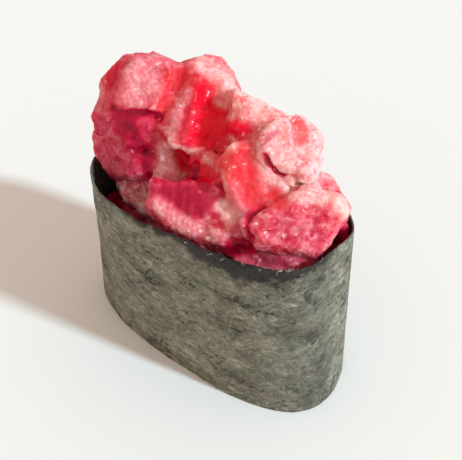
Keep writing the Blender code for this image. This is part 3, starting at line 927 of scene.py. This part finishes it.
def scattered_grains(grain):
    """Corners of each grain lying under and over the rice, in the band's plan."""
    chance = random.Random("rice")
    rows = range(-GRAIN_ROWS, GRAIN_ROWS + 1)
    columns = range(-GRAIN_COLUMNS, GRAIN_COLUMNS + 1)
    for height, across, along in itertools.product((0.0, RICE_TOP), rows, columns):
        side = -1 if height else 1
        offset = 0.5 * (across % 2)
        x = (along + offset + chance.uniform(-GRAIN_STRAY, GRAIN_STRAY)) * GRAIN_PITCH[0]
        y = (across + chance.uniform(-GRAIN_STRAY, GRAIN_STRAY)) * GRAIN_PITCH[1]
        z = height + side * (GRAIN[2] / 2 + chance.uniform(*GRAIN_RISE))
        size = chance.uniform(*GRAIN_SIZES)
        tilt = Matrix.Rotation(chance.gauss(0, GRAIN_TILT), 3, "Y")
        for pull in RICE_PULLS:
            turn = Matrix.Rotation(chance.uniform(0, math.pi), 3, "Z") @ tilt
            placed = grain @ np.array(turn).T * size + (x * pull, y * pull, z)
            if room_in_band(placed, height):
                yield placed
                break


def build_rice(look):
    core = fine_mesh([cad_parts["rice_bed"]], -RICE_DEPTH, RICE_VOXEL)
    points = points_of(core)
    write_points(core, points + normals_of(core) * uneven(points, *RICE_LUMPS)[:, None])
    add_piece("rice_core", core, look, "rice", "rice_bed")
    grain, grain_faces = grain_template()
    grains = np.array(list(scattered_grains(grain)))
    grains[..., :2] += CENTRE
    grains[..., 2] = np.clip(grains[..., 2], *RICE_RANGE)
    faces = grain_faces + len(grain) * np.arange(len(grains))[:, None, None]
    mesh = bpy.data.meshes.new("rice_grains")
    mesh.from_pydata(grains.reshape(-1, 3).tolist(), [], faces.reshape(-1, 3).tolist())
    add_piece("rice_grains", mesh, look, "rice")


# Tuna


def flesh_of(name):
    return SHADED_BED_FLESH if "bed" in name else FLESH.get(name[len("tuna_"):], OTHER_FLESH)


def heap_skin(sources):
    """Search tree of a skin that spans the narrow creases between the chunks."""
    before, after = SKIN_SMOOTHING
    mesh = fine_mesh(sources, SKIN_REACH, SKIN_VOXEL)
    write_points(mesh, relaxed(points_of(mesh), edges_of(mesh), before))
    points = points_of(mesh) - normals_of(mesh) * SKIN_REACH
    points = relaxed(points, edges_of(mesh), after)
    faces = [tuple(face.vertices) for face in mesh.polygons]
    bpy.data.meshes.remove(mesh)
    return BVHTree.FromPolygons(points.tolist(), faces)


def neighbours(name, solids):
    """Search tree of all the chunks but one, and the flesh behind each of its faces."""
    corners, faces, flesh = [], [], []
    for other, solid in solids.items():
        if other != name:
            start = len(corners)
            corners += [vert.co / MM for vert in solid.data.vertices]
            faces += [[start + i for i in face.vertices] for face in solid.data.polygons]
            flesh += [flesh_of(other)] * len(solid.data.polygons)
    return BVHTree.FromPolygons(corners, faces), np.array(flesh)


def drawn_shut(points, edges, tree, flesh):
    """Points drawn to the chunks round them, how close those are (1 touching), their flesh."""
    found = [tree.find_nearest(Vector(point), CLOSE_REACH) for point in points]
    away = np.array([CLOSE_REACH if hit[3] is None else hit[3] for hit in found])
    towards = np.array([(0, 0, 0) if hit[0] is None else tuple(hit[0]) for hit in found])
    towards = np.where((away < CLOSE_REACH)[:, None], towards - points, 0)
    beyond = flesh[[0 if hit[2] is None else hit[2] for hit in found]]
    share = ramp(CLOSE_REACH - away, 0, CLOSE_REACH * CLOSE_FULL)[:, None]
    half_way = 0.5 + CLOSE_LAP / np.maximum(away, CLOSE_LEAST)
    step = np.concatenate([towards * share * half_way[:, None], share], axis=1)
    step, share = np.split(relaxed(step, edges, CLOSE_SMOOTHING), [3], axis=1)
    return points + step, share[:, 0], relaxed(beyond, edges, FLESH_SMOOTHING)


def raised(points, edges, skin):
    """Points under the skin brought up to it, the less the deeper they lie."""
    found = [skin.find_nearest(Vector(point), SKIN_DEPTH) for point in points]
    step = np.array([(0, 0, 0) if hit[0] is None else tuple(hit[0] - Vector(point))
                     for hit, point in zip(found, points)])
    out = np.array([(0, 0, 1) if hit[1] is None else tuple(hit[1]) for hit in found])
    depth = (step * out).sum(1)
    share = SKIN_SHARE * (1 - ramp(depth, SKIN_DEPTH * SKIN_FULL, SKIN_DEPTH)) * (depth > 0)
    return points + relaxed(step * share[:, None], edges, RISE_SMOOTHING)


def keep_inside(points):
    """Draw in what would cut through the band."""
    flat = points[:, :2] - CENTRE
    reach = wall_reach(flat, np.clip(points[:, 2] / BAND_HEIGHT, 0, 1))
    away = np.linalg.norm(flat, axis=1)
    most = 1 - WALL_CLEARANCE / reach
    over = (away / reach > most) & (points[:, 2] < BAND_HEIGHT + RIM_MARGIN)
    shrink = np.where(over, most * reach / np.maximum(away, 1e-6), 1.0)
    points = points.copy()
    points[:, :2] = flat * shrink[:, None] + CENTRE
    return points


def along_fibres(points, seed):
    """Points squeezed along the grain of a chunk's flesh."""
    grain = Vector(random.Random(seed).choices((-1, -0.5, 0.5, 1), k=3)).normalized()
    grain = np.array(grain)
    return points - FIBRE_SQUEEZE * (points @ grain)[:, None] * grain


def stroke_share(points, radius, route, wobble):
    """1 on a stroke's line, falling to 0 a little beyond its radius."""
    route = [np.array(spot, float) for spot in route]
    away = np.full(len(points), np.inf)
    for start, end in zip(route, route[1:] or route):
        along = end - start
        t = np.clip(((points - start) @ along) / max(along @ along, 1e-9), 0, 1)
        away = np.minimum(away, np.linalg.norm(points - start - t[:, None] * along, axis=1))
    inner, outer = STROKE_EDGE
    return 1 - ramp(away + wobble * radius, radius * inner, radius * outer)


def graded(value, low, high, amount):
    """0 up to low and the amount from high on."""
    return amount * ramp(value, low, high)


def painted(points, flesh, proud, contact):
    """Tone, warmth and frost of points, and how far the strokes push each of them out."""
    tone, warmth, frost = flesh.T
    frost = np.clip(frost + uneven(points, *FROST_PATCHES), 0, 1)
    tone = tone + uneven(points, *TONE_MOTTLE) * (BARE_MOTTLE + frost)
    # edges that stand out are paler, with frost and painted glow; dips are darker with painted
    # shade
    tone = tone + graded(proud, *EDGE_FROST_AND_GLOW) - graded(-proud, *SHADED_DIPS)
    # darker where chunks touch: painted shade in the seams
    tone = tone + uneven(points, *TONE_PATCHES) - graded(contact, *SHADED_SEAMS)
    warmth = warmth + uneven(points, *WARMTH_PATCHES)
    wobble = uneven(points, *STROKE_WOBBLE)
    paint = np.stack([tone, warmth, frost], axis=1)
    push = np.zeros(len(points))
    for shade, radius, out, *route in STROKES:
        share = stroke_share(points, radius, route, wobble)
        paint = paint + (SHADES[shade] - paint) * share[:, None]
        push = push + out * share * (1 - PUSH_LOST * contact * (out < 0))
    return *paint.T, push


def build_chunk(name, solids, skin, look):
    """A chunk of tuna, made from its CAD solid."""
    seen = name[len("tuna_"):] in FLESH or "back" in name
    mesh = fine_mesh([solids[name]], GROW, VOXEL if seen else HIDDEN_VOXEL)
    edges = edges_of(mesh)
    points, contact, beyond = drawn_shut(points_of(mesh), edges, *neighbours(name, solids))
    points = raised(points, edges, skin)
    for size, amount, seed in WARPS:
        warp = np.stack([noise(points, size, seed + axis) for axis in range(3)], axis=1)
        points = points + amount * warp
    write_points(mesh, points)
    tears = sum(amount * torn(points, size, seed) for size, amount, seed in TEARS)
    points = points + normals_of(mesh) * (tears * (1 - TEARS_LOST * contact))[:, None]
    write_points(mesh, points)
    normal = normals_of(mesh)
    proud = ((points - relaxed(points, edges, EDGE_SMOOTHING)) * normal).sum(1)
    flesh = np.array(flesh_of(name))
    flesh = flesh + (beyond - flesh) * FLESH_BLEND * contact[:, None]
    tone, warmth, frost, push = painted(points, flesh, proud, contact)
    lump = knobs(points + LUMP_BEND * warp, *LUMPS)
    grit = knobs(points, *GRIT)
    fibre = noise(along_fibres(points, sum(map(ord, name))), FIBRE_SIZE, FIBRE_SEED)
    rise = lump * (LUMP_HEIGHT + ICY_LUMP_HEIGHT * frost) + grit * GRIT_HEIGHT * frost
    rise = rise + uneven(points, *PORES) + FIBRE_HEIGHT * fibre + push
    write_points(mesh, keep_inside(points + normal * rise[:, None]))
    tone = tone + (LUMP_TONE * lump + GRIT_TONE * grit) * frost + FIBRE_TONE * fibre
    store(mesh, "tone", np.clip(tone, 0, TONE_TOP))
    store(mesh, "warmth", np.clip(warmth, 0, 1))
    store(mesh, "frost", np.clip(frost, 0, 1))
    store(mesh, "seam", contact)
    add_piece(name.replace("tuna", "cut"), mesh, look, "tuna", name)


# Stage


def build_stage():
    mesh = bpy.data.meshes.new("floor")
    half = FLOOR_SIZE / 2
    corners = [(-half, -half, 0), (half, -half, 0), (half, half, 0), (-half, half, 0)]
    mesh.from_pydata(corners, [], [(0, 1, 2, 3)])
    mesh.transform(Matrix.Scale(MM, 4))
    look, shader = new_material("pale floor")
    shader.inputs["Base Color"].default_value = (*FLOOR_COLOUR, 1.0)
    shader.inputs["Roughness"].default_value = 0.6
    shader.inputs["Specular IOR Level"].default_value = 0.2
    mesh.materials.append(look)
    floor = bpy.data.objects.new("floor", mesh)
    bpy.context.scene.collection.objects.link(floor)


def direction(bearing, height):
    b, h = math.radians(bearing), math.radians(height)
    return Vector((math.cos(b) * math.cos(h), math.sin(b) * math.cos(h), math.sin(h)))


def build_light():
    data = bpy.data.lights.new("key", "SUN")
    data.energy = KEY_STRENGTH
    data.angle = math.radians(KEY_SPREAD)
    data.color = KEY_COLOUR
    key = bpy.data.objects.new("key", data)
    key.rotation_euler = direction(*KEY_ANGLES).to_track_quat("Z", "Y").to_euler()
    bpy.context.scene.collection.objects.link(key)
    world = bpy.data.worlds.new("studio")
    bpy.context.scene.world = world
    world.use_nodes = True
    sky = world.node_tree.nodes["Background"]
    sky.inputs["Color"].default_value = (*SKY_COLOUR, 1.0)
    sky.inputs["Strength"].default_value = SKY_STRENGTH


def build_camera():
    azimuth, elevation = CAMERA_ANGLES
    back = direction(azimuth - 90, elevation)
    data = bpy.data.cameras.new("camera")
    data.lens = LENS
    data.clip_start, data.clip_end = (reach * MM for reach in CAMERA_RANGE)
    camera = bpy.data.objects.new("camera", data)
    camera.location = (Vector(CAMERA_TARGET) + back * CAMERA_DISTANCE) * MM
    camera.rotation_euler = back.to_track_quat("Z", "Y").to_euler()
    bpy.context.scene.collection.objects.link(camera)
    bpy.context.scene.camera = camera


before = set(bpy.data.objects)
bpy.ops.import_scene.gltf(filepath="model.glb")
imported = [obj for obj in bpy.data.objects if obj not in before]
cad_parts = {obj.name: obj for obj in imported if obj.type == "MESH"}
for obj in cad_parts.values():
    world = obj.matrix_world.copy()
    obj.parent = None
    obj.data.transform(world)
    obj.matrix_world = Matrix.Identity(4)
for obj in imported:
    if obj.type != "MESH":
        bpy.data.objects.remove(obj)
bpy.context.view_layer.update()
CENTRE = plan_centre()
bpy.context.scene.view_settings.view_transform = "Standard"
build_stage()
build_light()
build_camera()
build_nori(nori_material())
build_frays(fray_material())
build_rice(rice_material())
flesh_look = tuna_material()
chunks = sorted(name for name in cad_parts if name.startswith("tuna_"))
solids = {name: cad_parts[name] for name in chunks}
skin = heap_skin(solids.values())
for name in chunks:
    build_chunk(name, solids, skin, flesh_look)
